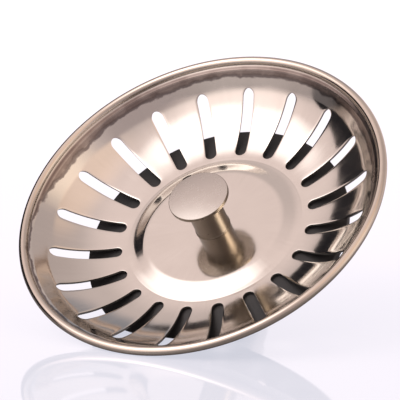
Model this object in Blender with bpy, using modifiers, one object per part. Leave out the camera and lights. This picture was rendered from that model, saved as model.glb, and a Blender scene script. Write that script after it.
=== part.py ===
"""Sink stopper: a slotted stainless steel basket with a pull knob, a rubber seal and a sprung centre post.

Metres, +Z up. The origin is the centre of the post's flat end, and Z is the axis of every turned piece.
Heights add up from there: post, lock washer, seal washer, seal, basket and knob.
"""

import math

import bmesh
import bpy
from mathutils import Matrix

# Gaps between pieces that touch on the real object
SEAT_GAP = 0.0003
STUD_CLEARANCE = 0.0003
BALL_CLEARANCE = 0.0001
CUT_OVERRUN = 0.002
MERGE_DISTANCE = 0.000001

# Basket: one pressed sheet, with bends measured on its upper side
SHEET = 0.0005
RIM_RADIUS = 0.03975
BEAD_RADIUS = 0.00095
BEAD_UNDERCURL = math.radians(78)
GROOVE_ROUND = 0.0003
SHOULDER_SLOPE = math.radians(30)
SHOULDER_WIDTH = 0.0006
SHOULDER_ROUND = 0.0004
WALL_TOP_SLOPE = math.radians(52)
WALL_CORNER_RADIUS = 0.0050
WALL_TO_RIM = 0.00595
WALL_UPPER_SLOPE = math.radians(37)
WALL_FOOT_SLOPE = math.radians(1.5)
CREASE_ROUND = 0.0010
FLANK_FOOT_SLOPE = math.radians(4)
FLANK_EASE = 0.0085
FLANK_SLOPE = math.radians(16.5)
PAD_ROUND = 0.0045
PAD_RADIUS = 0.0143
PAD_RISE = 0.0010

# Slots through the bowl's wall, measured in plan
SLOT_COUNT = 20
SLOT_WIDTH = 0.0025
SLOT_INNER_TIP = 0.0203
SLOT_TO_RIM = 0.00525

# Knob, turned with its lipped foot and its stud
KNOB_RADIUS = 0.0064
KNOB_THICKNESS = 0.0008
KNOB_EDGE = 0.0002
KNOB_ABOVE_PAD = 0.0097
NECK_RADIUS = 0.00365
NECK_FILLET = 0.0004
FOOT_LIP = 0.00015
FOOT_HEIGHT = 0.0004
STUD_RADIUS = 0.0020
STUD_ENGAGEMENT = 0.0060
STUD_POINT = 0.0005

# Moulded rubber seal
SEAL_RADIUS = 0.0285
SEAL_THICKNESS = 0.0020
SEAL_DROOP = 0.0006
SEAL_LIP = 0.0003
SEAL_HUB_RADIUS = 0.0128
SEAL_RECESS_DEPTH = 0.0004
SEAL_RECESS_ROOM = 0.0006

# Washers under the seal
SEAL_WASHER_RADIUS = 0.0120
SEAL_WASHER_THICKNESS = 0.0008
SEAL_WASHER_FLAT = 0.0075
SEAL_WASHER_ROUND = 0.0060
SEAL_WASHER_SLOPE = math.radians(14)
LOCK_WASHER_RADIUS = 0.0042
LOCK_WASHER_THICKNESS = 0.0010
LOCK_WASHER_SPLIT = 0.0008
LOCK_WASHER_LEAN = math.radians(35)

# Centre post
POST_LENGTH = 0.0165
POST_RADIUS = 0.0055
COLLAR_RADIUS = 0.0070
COLLAR_HEIGHT = 0.0024
COLLAR_ACROSS_FLATS = 0.0120
COLLAR_EDGE = 0.0003
NOSE_RADIUS = 0.0038
NOSE_HEIGHT = 0.0024
TAPPED_HOLE_ROOM = 0.0010

# Detent in the post's cross bore
BALL_RADIUS = 0.0020
BALL_PROUD = 0.0007
BALL_HEIGHT = 0.0060
MOUTH_RADIUS = 0.0019
SPRING_WIRE = 0.0004
SPRING_RADIUS = 0.0013
SPRING_TURNS = 5

# Facets
BASKET_STEPS = 80
SEAL_STEPS = 40
TURNED_STEPS = 36
BORE_STEPS = 16
SLOT_END_STEPS = 6
SPRING_STEPS = 10

# Heights, from the post's end upwards
LOCK_WASHER_BASE = POST_LENGTH + SEAT_GAP
SEAL_WASHER_BASE = LOCK_WASHER_BASE + LOCK_WASHER_THICKNESS + SEAT_GAP
SEAL_BASE = SEAL_WASHER_BASE + SEAL_WASHER_THICKNESS + SEAT_GAP
CREASE_LEVEL = SEAL_BASE + SEAL_THICKNESS + SEAT_GAP + SHEET
PAD_LEVEL = CREASE_LEVEL + PAD_RISE
FOOT_LEVEL = PAD_LEVEL + SEAT_GAP
KNOB_TOP = PAD_LEVEL + KNOB_ABOVE_PAD
STUD_HOLE = STUD_RADIUS + STUD_CLEARANCE


def clear_scene():
    for obj in list(bpy.data.objects):
        bpy.data.objects.remove(obj)


def new_collection(name):
    collection = bpy.data.collections.new(name)
    bpy.context.scene.collection.children.link(collection)
    return collection


def material(name, colour, roughness, metallic):
    mat = bpy.data.materials.new(name)
    mat.use_nodes = True
    shader = mat.node_tree.nodes["Principled BSDF"]
    shader.inputs["Base Color"].default_value = (*colour, 1)
    shader.inputs["Roughness"].default_value = roughness
    shader.inputs["Metallic"].default_value = metallic
    return mat


def straight(path, length):
    """Adds a straight run to a sheet's path of (radius, height, heading) points."""
    r, z, heading = path[-1]
    path.append((r + length * math.cos(heading), z + length * math.sin(heading), heading))


def bend(path, radius, turn, steps):
    """Adds a bend to a sheet's path; a positive turn bends upwards."""
    r, z, heading = path[-1]
    side = math.copysign(radius, turn)
    for step in range(1, steps + 1):
        ahead = heading + turn * step / steps
        along = side * (math.sin(ahead) - math.sin(heading))
        up = side * (math.cos(heading) - math.cos(ahead))
        path.append((r + along, z + up, ahead))


def turned(name, outline, steps, closed):
    """A body turned about Z from an outline of (radius, height) points, which runs down its outer side."""
    mesh = bpy.data.meshes.new(name)
    bm = bmesh.new()
    verts = [bm.verts.new((r, 0, z)) for r, z in outline]
    for start, end in zip(verts, verts[1:]):
        bm.edges.new((start, end))
    if closed:
        bm.edges.new((verts[-1], verts[0]))
    bm.to_mesh(mesh)
    bm.free()
    obj = bpy.data.objects.new(name, mesh)
    bpy.context.scene.collection.objects.link(obj)
    screw = obj.modifiers.new("Turn", "SCREW")
    screw.axis = "Z"
    screw.angle = math.tau
    screw.steps = steps
    screw.render_steps = steps
    screw.use_merge_vertices = True
    screw.merge_threshold = MERGE_DISTANCE
    return obj


def thicken(obj, thickness):
    """Gives a turned open surface its sheet thickness, below the surface."""
    wall = obj.modifiers.new("Sheet", "SOLIDIFY")
    wall.thickness = thickness
    wall.offset = -1
    wall.use_even_offset = True


def cut(obj, cutter):
    boolean = obj.modifiers.new("Cut", "BOOLEAN")
    boolean.operation = "DIFFERENCE"
    boolean.solver = "EXACT"
    boolean.object = cutter


def settle(obj, mat, collection, sharp_angle=math.radians(30)):
    """Applies the modifiers, shades the piece and files it with its material."""
    graph = bpy.context.evaluated_depsgraph_get()
    mesh = bpy.data.meshes.new_from_object(obj.evaluated_get(graph))
    mesh.name = obj.name
    obj.modifiers.clear()
    obj.data = mesh
    mesh.materials.clear()
    mesh.materials.append(mat)
    mesh.shade_smooth()
    mesh.set_sharp_from_angle(angle=sharp_angle)
    bpy.context.scene.collection.objects.unlink(obj)
    collection.objects.link(obj)
    return obj


def as_cutter(obj, collection):
    """Files a cutting body, which is never rendered."""
    obj.hide_render = True
    obj.display_type = "WIRE"
    bpy.context.scene.collection.objects.unlink(obj)
    collection.objects.link(obj)
    return obj


def box_cutter(name, size, place, collection):
    mesh = bpy.data.meshes.new(name)
    bm = bmesh.new()
    bmesh.ops.create_cube(bm, size=1, matrix=place @ Matrix.Diagonal((*size, 1)))
    bm.to_mesh(mesh)
    bm.free()
    obj = bpy.data.objects.new(name, mesh)
    bpy.context.scene.collection.objects.link(obj)
    return as_cutter(obj, collection)


def basket_path():
    """The upper side of the pressed sheet, from the stud's hole out to the free edge of the rolled rim."""
    path = [(STUD_HOLE, PAD_LEVEL, 0)]
    straight(path, PAD_RADIUS - STUD_HOLE)
    bend(path, PAD_ROUND, -FLANK_SLOPE, 1)
    bends_fall = PAD_ROUND * (1 - math.cos(FLANK_SLOPE)) + CREASE_ROUND * (1 - math.cos(FLANK_FOOT_SLOPE))
    bends_fall += FLANK_EASE * (math.cos(FLANK_FOOT_SLOPE) - math.cos(FLANK_SLOPE))
    straight(path, (PAD_RISE - bends_fall) / math.sin(FLANK_SLOPE))
    bend(path, FLANK_EASE, FLANK_SLOPE - FLANK_FOOT_SLOPE, 2)
    bend(path, CREASE_ROUND, FLANK_FOOT_SLOPE + WALL_FOOT_SLOPE, 1)
    slope_change = math.sin(WALL_UPPER_SLOPE) - math.sin(WALL_FOOT_SLOPE)
    wall_radius = (RIM_RADIUS - WALL_TO_RIM - path[-1][0]) / slope_change
    bend(path, wall_radius, WALL_UPPER_SLOPE - WALL_FOOT_SLOPE, 5)
    bend(path, WALL_CORNER_RADIUS, WALL_TOP_SLOPE - WALL_UPPER_SLOPE, 2)
    groove_width = GROOVE_ROUND * (1 - math.sin(SHOULDER_SLOPE))
    round_width = SHOULDER_ROUND * (math.sin(WALL_TOP_SLOPE) - math.sin(SHOULDER_SLOPE))
    wall_end = RIM_RADIUS - 2 * BEAD_RADIUS - groove_width - SHOULDER_WIDTH - round_width
    straight(path, (wall_end - path[-1][0]) / math.cos(WALL_TOP_SLOPE))
    bend(path, SHOULDER_ROUND, SHOULDER_SLOPE - WALL_TOP_SLOPE, 1)
    straight(path, SHOULDER_WIDTH / math.cos(SHOULDER_SLOPE))
    bend(path, GROOVE_ROUND, math.pi / 2 - SHOULDER_SLOPE, 2)
    bend(path, BEAD_RADIUS, -math.pi, 6)
    bend(path, BEAD_RADIUS, -BEAD_UNDERCURL, 2)
    return path


def slot_cutter(collection):
    """Upright round-ended bars in a ring, one for each slot."""
    end_radius = SLOT_WIDTH / 2
    outer_tip = RIM_RADIUS - SLOT_TO_RIM
    centres = (outer_tip - end_radius, SLOT_INNER_TIP + end_radius)
    outline = []
    for end, centre in enumerate(centres):
        for step in range(SLOT_END_STEPS + 1):
            angle = math.pi * (end - 0.5 + step / SLOT_END_STEPS)
            outline.append((centre + end_radius * math.cos(angle), end_radius * math.sin(angle)))

    curve = bpy.data.curves.new("slot_outline", "CURVE")
    curve.dimensions = "2D"
    curve.fill_mode = "BOTH"
    curve.extrude = (KNOB_TOP - SEAL_BASE) / 2
    spline = curve.splines.new("POLY")
    spline.points.add(len(outline) - 1)
    for point, (x, y) in zip(spline.points, outline):
        point.co = (x, y, 0, 1)
    spline.use_cyclic_u = True
    bar = bpy.data.objects.new("slot_outline", curve)
    bpy.context.scene.collection.objects.link(bar)
    graph = bpy.context.evaluated_depsgraph_get()
    bar_mesh = bpy.data.meshes.new_from_object(bar.evaluated_get(graph))
    bpy.data.objects.remove(bar)

    half_facet = 0.5 / BASKET_STEPS
    mesh = bpy.data.meshes.new("slot_bars")
    bm = bmesh.new()
    for index in range(SLOT_COUNT):
        before = len(bm.verts)
        bm.from_mesh(bar_mesh)
        bm.verts.ensure_lookup_table()
        turn = Matrix.Rotation(math.tau * (index / SLOT_COUNT + half_facet), 4, "Z")
        bmesh.ops.transform(bm, matrix=turn, verts=bm.verts[before:])
    bmesh.ops.remove_doubles(bm, verts=bm.verts, dist=MERGE_DISTANCE)
    bmesh.ops.translate(bm, verts=bm.verts, vec=(0, 0, (KNOB_TOP + SEAL_BASE) / 2))
    bm.to_mesh(mesh)
    bm.free()
    obj = bpy.data.objects.new("slot_bars", mesh)
    bpy.context.scene.collection.objects.link(obj)
    return as_cutter(obj, collection)


def make_basket(mat, collection, cutters):
    outline = [(r, z) for r, z, heading in basket_path()]
    basket = turned("basket", outline, BASKET_STEPS, closed=False)
    thicken(basket, SHEET)
    cut(basket, slot_cutter(cutters))
    return settle(basket, mat, collection)


def make_knob(mat, collection):
    under = KNOB_TOP - KNOB_THICKNESS
    lip = NECK_RADIUS + FOOT_LIP
    stud_end = POST_LENGTH - STUD_ENGAGEMENT
    outline = [
        (0, KNOB_TOP),
        (KNOB_RADIUS - KNOB_EDGE, KNOB_TOP),
        (KNOB_RADIUS, KNOB_TOP - KNOB_EDGE),
        (KNOB_RADIUS, under + KNOB_EDGE),
        (KNOB_RADIUS - KNOB_EDGE, under),
        (NECK_RADIUS + NECK_FILLET, under),
        (NECK_RADIUS, under - NECK_FILLET),
        (NECK_RADIUS, FOOT_LEVEL + FOOT_HEIGHT),
        (lip, FOOT_LEVEL + FOOT_HEIGHT / 2),
        (lip, FOOT_LEVEL),
        (STUD_RADIUS, FOOT_LEVEL),
        (STUD_RADIUS, stud_end + STUD_POINT),
        (STUD_RADIUS - STUD_POINT, stud_end),
        (0, stud_end),
    ]
    return settle(turned("knob", outline, TURNED_STEPS, closed=False), mat, collection)


def make_seal(mat, collection):
    """A disc with a hub in the hollow of the pad, a drooping edge, and a flat seat around the washer's recess."""
    flange_top = SEAL_BASE + SEAL_THICKNESS
    seat = SEAL_BASE - SEAL_RECESS_DEPTH
    recess = SEAL_WASHER_RADIUS + SEAL_RECESS_ROOM
    hub_top = PAD_LEVEL - SHEET - SEAT_GAP
    hub_rise = hub_top - flange_top
    droop_start = SLOT_INNER_TIP
    outline = [
        (STUD_HOLE, hub_top),
        (SEAL_HUB_RADIUS, hub_top),
        (SEAL_HUB_RADIUS + hub_rise, flange_top),
        (droop_start, flange_top),
        (SEAL_RADIUS - SEAL_LIP, flange_top - SEAL_DROOP),
        (SEAL_RADIUS, flange_top - SEAL_DROOP - SEAL_LIP),
        (SEAL_RADIUS, seat + SEAL_LIP),
        (SEAL_RADIUS - SEAL_LIP, seat),
        (recess + SEAL_RECESS_DEPTH, seat),
        (recess, SEAL_BASE),
        (STUD_HOLE, SEAL_BASE),
    ]
    return settle(turned("rubber_seal", outline, SEAL_STEPS, closed=True), mat, collection)


def make_seal_washer(mat, collection):
    """A pressed washer whose outer edge dips away from the rubber."""
    path = [(STUD_HOLE, SEAL_WASHER_BASE + SEAL_WASHER_THICKNESS, 0)]
    straight(path, SEAL_WASHER_FLAT - STUD_HOLE)
    bend(path, SEAL_WASHER_ROUND, -SEAL_WASHER_SLOPE, 2)
    straight(path, (SEAL_WASHER_RADIUS - path[-1][0]) / math.cos(SEAL_WASHER_SLOPE))
    outline = [(r, z) for r, z, heading in path]
    washer = turned("seal_washer", outline, TURNED_STEPS, closed=False)
    thicken(washer, SEAL_WASHER_THICKNESS)
    return settle(washer, mat, collection)


def make_lock_washer(mat, collection, cutters):
    top = LOCK_WASHER_BASE + LOCK_WASHER_THICKNESS
    outline = [
        (STUD_HOLE, top),
        (LOCK_WASHER_RADIUS, top),
        (LOCK_WASHER_RADIUS, LOCK_WASHER_BASE),
        (STUD_HOLE, LOCK_WASHER_BASE),
    ]
    washer = turned("lock_washer", outline, TURNED_STEPS, closed=True)
    middle = (LOCK_WASHER_RADIUS + STUD_HOLE) / 2
    place = Matrix.Translation((middle, 0, (LOCK_WASHER_BASE + top) / 2))
    place = place @ Matrix.Rotation(LOCK_WASHER_LEAN, 4, "X")
    reach = LOCK_WASHER_RADIUS - STUD_HOLE + CUT_OVERRUN
    size = (reach, LOCK_WASHER_SPLIT, LOCK_WASHER_THICKNESS + CUT_OVERRUN)
    cut(washer, box_cutter("washer_split", size, place, cutters))
    return settle(washer, mat, collection)


def bore_cutter(collection):
    """The cross bore for the balls, with a narrower mouth at each end that keeps them in."""
    ball_seat = math.sqrt(BALL_RADIUS**2 - MOUTH_RADIUS**2)
    seat_end = ball_place() + ball_seat + BALL_CLEARANCE
    bore = BALL_RADIUS + BALL_CLEARANCE
    reach = POST_RADIUS + CUT_OVERRUN
    outline = [
        (0, reach),
        (MOUTH_RADIUS, reach),
        (MOUTH_RADIUS, seat_end),
        (bore, seat_end),
        (bore, -seat_end),
        (MOUTH_RADIUS, -seat_end),
        (MOUTH_RADIUS, -reach),
        (0, -reach),
    ]
    cutter = turned("cross_bore", outline, BORE_STEPS, closed=False)
    cutter.rotation_euler = (0, math.pi / 2, 0)
    cutter.rotation_euler.rotate_axis("Z", math.pi / BORE_STEPS)
    cutter.location = (0, 0, BALL_HEIGHT)
    return as_cutter(cutter, collection)


def make_post(mat, collection, cutters):
    collar_base = POST_LENGTH - COLLAR_HEIGHT
    hole_bottom = POST_LENGTH - STUD_ENGAGEMENT - TAPPED_HOLE_ROOM
    outline = [
        (0, hole_bottom),
        (STUD_HOLE, hole_bottom),
        (STUD_HOLE, POST_LENGTH),
        (COLLAR_RADIUS - COLLAR_EDGE, POST_LENGTH),
        (COLLAR_RADIUS, POST_LENGTH - COLLAR_EDGE),
        (COLLAR_RADIUS, collar_base + COLLAR_EDGE),
        (COLLAR_RADIUS - COLLAR_EDGE, collar_base),
        (POST_RADIUS, collar_base),
        (POST_RADIUS, NOSE_HEIGHT),
    ]
    nose_steps = 4
    for step in range(1, nose_steps + 1):
        angle = math.pi / 2 * step / nose_steps
        nose_width = (POST_RADIUS - NOSE_RADIUS) * math.cos(angle)
        outline.append((NOSE_RADIUS + nose_width, NOSE_HEIGHT * (1 - math.sin(angle))))
    outline.append((0, 0))
    post = turned("post", outline, TURNED_STEPS, closed=False)
    flat_depth = COLLAR_RADIUS - COLLAR_ACROSS_FLATS / 2 + CUT_OVERRUN
    for side in (-1, 1):
        middle = side * (COLLAR_ACROSS_FLATS + flat_depth) / 2
        place = Matrix.Translation((0, middle, POST_LENGTH - COLLAR_HEIGHT / 2))
        size = (2 * COLLAR_RADIUS + CUT_OVERRUN, flat_depth, COLLAR_HEIGHT + CUT_OVERRUN)
        cut(post, box_cutter("collar_flat", size, place, cutters))
    cut(post, bore_cutter(cutters))
    return settle(post, mat, collection)


def ball_place():
    """Distance of a ball's centre from the post's axis when it stands out of its mouth."""
    return POST_RADIUS + BALL_PROUD - BALL_RADIUS


def make_ball(name, side, mat, collection):
    mesh = bpy.data.meshes.new(name)
    bm = bmesh.new()
    turn = Matrix.Rotation(math.pi / 2, 4, "Y")
    rings = BORE_STEPS // 2
    bmesh.ops.create_uvsphere(bm, u_segments=BORE_STEPS, v_segments=rings, radius=BALL_RADIUS, matrix=turn)
    bm.to_mesh(mesh)
    bm.free()
    ball = bpy.data.objects.new(name, mesh)
    ball.location = (side * ball_place(), 0, BALL_HEIGHT)
    bpy.context.scene.collection.objects.link(ball)
    return settle(ball, mat, collection)


def make_spring(mat, collection):
    """A coil along X that bears on both balls."""
    reach = BALL_RADIUS + SPRING_WIRE / 2 + BALL_CLEARANCE
    end = ball_place() - math.sqrt(reach**2 - SPRING_RADIUS**2)
    count = SPRING_TURNS * SPRING_STEPS
    curve = bpy.data.curves.new("detent_spring", "CURVE")
    curve.dimensions = "3D"
    curve.bevel_depth = SPRING_WIRE / 2
    curve.bevel_resolution = 1
    curve.use_fill_caps = True
    spline = curve.splines.new("POLY")
    spline.points.add(count)
    for step, point in enumerate(spline.points):
        angle = math.tau * step / SPRING_STEPS
        x = end * (2 * step / count - 1)
        point.co = (x, SPRING_RADIUS * math.cos(angle), SPRING_RADIUS * math.sin(angle), 1)
    coil = bpy.data.objects.new("spring_centre_line", curve)
    bpy.context.scene.collection.objects.link(coil)
    graph = bpy.context.evaluated_depsgraph_get()
    mesh = bpy.data.meshes.new_from_object(coil.evaluated_get(graph))
    bpy.data.objects.remove(coil)
    bm = bmesh.new()
    bm.from_mesh(mesh)
    bmesh.ops.remove_doubles(bm, verts=bm.verts, dist=MERGE_DISTANCE)
    bm.to_mesh(mesh)
    bm.free()
    spring = bpy.data.objects.new("detent_spring", mesh)
    spring.location = (0, 0, BALL_HEIGHT)
    bpy.context.scene.collection.objects.link(spring)
    pitch = 2 * end / SPRING_TURNS
    print(f"spring: {SPRING_TURNS} turns, least gap between turns {(pitch - SPRING_WIRE) * 1000:.2f} mm")
    return settle(spring, mat, collection)


def main():
    clear_scene()
    parts = new_collection("sink_stopper")
    cutters = new_collection("cutters")
    polished = material("polished_steel", (0.67, 0.63, 0.58), 0.12, 1)
    satin = material("satin_steel", (0.63, 0.58, 0.53), 0.26, 1)
    turned_steel = material("turned_steel", (0.57, 0.54, 0.51), 0.26, 1)
    rubber = material("black_rubber", (0.02, 0.019, 0.019), 0.65, 0)
    make_basket(polished, parts, cutters)
    make_knob(satin, parts)
    make_seal(rubber, parts)
    make_seal_washer(turned_steel, parts)
    make_lock_washer(turned_steel, parts, cutters)
    make_post(turned_steel, parts, cutters)
    make_ball("detent_ball_left", -1, polished, parts)
    make_ball("detent_ball_right", 1, polished, parts)
    make_spring(turned_steel, parts)


main()
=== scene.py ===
# %% [markdown]
# # A sink stopper
# The plug is a bowl pressed from one sheet of stainless steel, with a rolled rim, twenty radial slots
# and a turned knob in its middle. A black rubber seal, two washers and a short post hang below it. This
# lesson dresses the measured solids of the plug with fine surfaces and steel and rubber finishes, and
# lights them like a product photograph.
#
# Everything is in metres. Z is the axis of the plug, and the origin is the middle of the post's flat
# end.

import bisect
import math

import bmesh
import bpy
from mathutils import Matrix, Vector, noise


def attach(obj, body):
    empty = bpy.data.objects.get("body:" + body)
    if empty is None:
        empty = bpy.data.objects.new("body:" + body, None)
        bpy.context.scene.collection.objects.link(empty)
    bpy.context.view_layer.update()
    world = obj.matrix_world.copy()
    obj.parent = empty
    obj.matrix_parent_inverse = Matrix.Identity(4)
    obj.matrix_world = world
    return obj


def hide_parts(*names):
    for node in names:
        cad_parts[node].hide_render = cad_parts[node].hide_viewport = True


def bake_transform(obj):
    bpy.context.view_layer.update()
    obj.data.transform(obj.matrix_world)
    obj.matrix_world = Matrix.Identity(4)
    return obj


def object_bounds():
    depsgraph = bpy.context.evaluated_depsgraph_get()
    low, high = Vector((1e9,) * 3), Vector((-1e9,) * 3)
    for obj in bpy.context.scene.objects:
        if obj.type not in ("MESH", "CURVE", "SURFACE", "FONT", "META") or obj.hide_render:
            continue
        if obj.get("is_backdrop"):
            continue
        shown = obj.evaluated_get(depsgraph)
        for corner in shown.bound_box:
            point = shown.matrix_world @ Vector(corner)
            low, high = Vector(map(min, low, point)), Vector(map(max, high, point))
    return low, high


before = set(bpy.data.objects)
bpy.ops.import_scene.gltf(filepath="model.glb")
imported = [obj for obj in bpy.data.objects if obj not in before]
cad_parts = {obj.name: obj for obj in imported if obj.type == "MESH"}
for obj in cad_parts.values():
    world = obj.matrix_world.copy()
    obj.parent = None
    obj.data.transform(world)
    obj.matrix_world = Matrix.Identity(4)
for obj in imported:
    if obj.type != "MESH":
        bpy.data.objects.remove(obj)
solid_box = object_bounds()

# %% [markdown]
# ## Sums in a shader
# A procedural finish is a sum over coordinates, and Blender writes such a sum as small nodes joined by
# links. Made one by one they fill pages, so a few helpers make them: each takes sockets of other nodes
# or plain numbers, and gives back the socket with its result.

# %% Helpers for shader nodes
def feed(tree, socket, term):
    """Links a socket to another node's result, or sets it to a number, vector or colour."""
    if isinstance(term, bpy.types.NodeSocket):
        tree.links.new(term, socket)
    else:
        socket.default_value = term


def calculate(tree, operation, *terms, vector=False):
    node = tree.nodes.new("ShaderNodeVectorMath" if vector else "ShaderNodeMath")
    node.operation = operation
    for socket, term in zip(node.inputs, terms):
        feed(tree, socket, term)
    one_number = not vector or operation in ("LENGTH", "DOT_PRODUCT")
    return node.outputs["Value" if one_number else "Vector"]


def mixed(tree, factor, first, second, kind="FLOAT", blend="MIX"):
    """All `first` where the factor is 0, and blended fully with `second` where it is 1."""
    node = tree.nodes.new("ShaderNodeMix")
    node.data_type = kind
    node.blend_type = blend
    for name, term in (("Factor", factor), ("A", first), ("B", second)):
        feed(tree, node.inputs[name], term)
    return node.outputs["Result"]


def mapped(tree, value, start, end, low, high, shape="LINEAR"):
    """Turns the range from `start` to `end` into the range from `low` to `high`."""
    node = tree.nodes.new("ShaderNodeMapRange")
    node.interpolation_type = shape
    feed(tree, node.inputs["Value"], value)
    for name, term in (("From Min", start), ("From Max", end), ("To Min", low), ("To Max", high)):
        node.inputs[name].default_value = term
    return node.outputs["Result"]


def noise_pattern(tree, coordinates, size, detail, roughness=0.5):
    """Noise whose largest features are about a size in metres."""
    node = tree.nodes.new("ShaderNodeTexNoise")
    node.inputs["Scale"].default_value = 1 / size
    node.inputs["Detail"].default_value = detail
    node.inputs["Roughness"].default_value = roughness
    tree.links.new(coordinates, node.inputs["Vector"])
    return node.outputs["Fac"]


# %% [markdown]
# ## Finishes
# Tools leave fine lines on metal: polishing a bowl leaves lines that run outwards, and turning on a
# lathe leaves lines round the axis. They needn't be drawn one by one. Plain noise turns into such lines
# when it is fed with the direction from the axis, or with the distance from it.

# %% Coordinates that turn noise into lines
OUTWARD_SPACING = 0.02
OUTWARD_STRETCH = 0.06


def away_from_axis(tree, place):
    return calculate(tree, "MULTIPLY", place, (1, 1, 0), vector=True)


def distance_from_axis(tree, place):
    return calculate(tree, "LENGTH", away_from_axis(tree, place), vector=True)


def line_coordinates(tree, place, lines):
    """Coordinates in which plain noise becomes lines `outward` from the Z axis or `round` it."""
    radius = distance_from_axis(tree, place)
    ring = tree.nodes.new("ShaderNodeCombineXYZ")
    if lines == "round":
        source, scale = place, (0, 0, 1)
        tree.links.new(radius, ring.inputs["X"])
    else:
        source = calculate(tree, "NORMALIZE", away_from_axis(tree, place), vector=True)
        scale = (OUTWARD_SPACING, OUTWARD_SPACING, 0)
        tree.links.new(calculate(tree, "MULTIPLY", radius, OUTWARD_STRETCH), ring.inputs["Z"])
    return calculate(tree, "MULTIPLY_ADD", source, scale, ring.outputs["Vector"], vector=True)


# %% [markdown]
# ### Polished steel
# It is a metal shader with little roughness. What makes it look real is that the roughness isn't even,
# so two noise patterns change it: a slow one for the faint smears of handling, and a fine one for the
# lines. Both stay weak, and both read the object's own coordinates, so they stay on the metal whatever
# the view. Other metals and rubber differ only in numbers, so one function makes every finish.

# %% Make the first finish
SMEAR_DETAIL = 3
GRAIN_DETAIL = 4
GRAIN_SHARE = 0.4
NOISE_LOW = 0.35
NOISE_HIGH = 0.65


def finish(name, colour, metallic, roughness, smear, smear_size, grain, grain_size, depth, lines=None):
    """A metal or rubber whose roughness wanders by `smear`, with grain `depth` metres deep."""
    mat = bpy.data.materials.new(name)
    mat.use_nodes = True
    tree = mat.node_tree
    shader = tree.nodes["Principled BSDF"]
    shader.inputs["Metallic"].default_value = metallic
    place = tree.nodes.new("ShaderNodeTexCoord").outputs["Object"]
    coordinates = line_coordinates(tree, place, lines) if lines else place
    slow = noise_pattern(tree, place, smear_size, SMEAR_DETAIL)
    fine = noise_pattern(tree, coordinates, grain_size, GRAIN_DETAIL)
    both = mixed(tree, GRAIN_SHARE, slow, fine)

    rough = mapped(tree, both, NOISE_LOW, NOISE_HIGH, roughness - smear, roughness + smear)
    tree.links.new(rough, shader.inputs["Roughness"])
    darker = [channel * (1 - grain) for channel in colour]
    tone = mixed(tree, both, (*darker, 1), (*colour, 1), "RGBA")
    tree.links.new(tone, shader.inputs["Base Color"])
    bump = tree.nodes.new("ShaderNodeBump")
    bump.inputs["Strength"].default_value = 1
    bump.inputs["Distance"].default_value = depth
    tree.links.new(fine, bump.inputs["Height"])
    tree.links.new(bump.outputs["Normal"], shader.inputs["Normal"])
    return mat


polished_steel = finish(
    "polished_steel", colour=(0.70, 0.66, 0.61), metallic=1, roughness=0.12, smear=0.05, smear_size=0.007,
    grain=0.15, grain_size=0.0006, depth=0.000002, lines="outward",
)
print("finish:", polished_steel.name)

# %% [markdown]
# ## The outline of the pressed sheet
# A pressed bowl is a flat blank that was bent along circles. So its section is best drawn like a walk:
# go straight for a length, turn by an angle on a given radius, go straight again. Each point also keeps
# the heading of the sheet there, because the next step of the walk starts from it.

# %% Two steps of a walk
def straight(path, length, steps=1):
    r, z, heading = path[-1]
    for step in range(1, steps + 1):
        run = length * step / steps
        path.append((r + run * math.cos(heading), z + run * math.sin(heading), heading))


def bend(path, radius, turn, steps):
    """A positive turn bends the sheet upwards."""
    r, z, heading = path[-1]
    side = math.copysign(radius, turn)
    for step in range(1, steps + 1):
        ahead = heading + turn * step / steps
        along = side * (math.sin(ahead) - math.sin(heading))
        up = side * (math.cos(heading) - math.cos(ahead))
        path.append((r + along, z + up, ahead))


# %% [markdown]
# ### From the hole to the free edge
# The walk starts at the hole for the knob's stud, in the raised pad. It crosses the pad and goes down
# its flank to a crease, climbs the wall on one large bend, and ends in a small shoulder, a groove and
# the rolled rim, whose edge curls under.

# %% Walk along the bowl's sheet
SHEET = 0.0005
STUD_HOLE = 0.0023
PAD_LEVEL = 0.0230
PAD_RADIUS = 0.0143
PAD_ROUND = 0.0045
PAD_RISE = 0.0010
FLANK_SLOPE = math.radians(16.5)
FLANK_EASE = 0.0085
FLANK_FOOT_SLOPE = math.radians(4)
CREASE_ROUND = 0.0010
WALL_FOOT_SLOPE = math.radians(1.5)
WALL_UPPER_SLOPE = math.radians(37)
WALL_TOP_RADIUS = 0.0338
WALL_CORNER_RADIUS = 0.0050
WALL_TOP_SLOPE = math.radians(52)
SHOULDER_ROUND = 0.0004
SHOULDER_SLOPE = math.radians(30)
SHOULDER_WIDTH = 0.0006
GROOVE_ROUND = 0.0003
BEAD_RADIUS = 0.00095
BEAD_UNDERCURL = math.radians(78)
RIM_RADIUS = 0.03975


def walk_pad_and_wall(path):
    straight(path, PAD_RADIUS - STUD_HOLE, steps=12)
    bend(path, PAD_ROUND, -FLANK_SLOPE, steps=6)
    other_fall = PAD_ROUND * (1 - math.cos(FLANK_SLOPE))
    other_fall += FLANK_EASE * (math.cos(FLANK_FOOT_SLOPE) - math.cos(FLANK_SLOPE))
    other_fall += CREASE_ROUND * (1 - math.cos(FLANK_FOOT_SLOPE))
    straight(path, (PAD_RISE - other_fall) / math.sin(FLANK_SLOPE), steps=8)
    bend(path, FLANK_EASE, FLANK_SLOPE - FLANK_FOOT_SLOPE, steps=10)
    bend(path, CREASE_ROUND, FLANK_FOOT_SLOPE + WALL_FOOT_SLOPE, steps=4)
    slope_change = math.sin(WALL_UPPER_SLOPE) - math.sin(WALL_FOOT_SLOPE)
    wall_radius = (WALL_TOP_RADIUS - path[-1][0]) / slope_change
    bend(path, wall_radius, WALL_UPPER_SLOPE - WALL_FOOT_SLOPE, steps=36)
    bend(path, WALL_CORNER_RADIUS, WALL_TOP_SLOPE - WALL_UPPER_SLOPE, steps=10)


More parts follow.
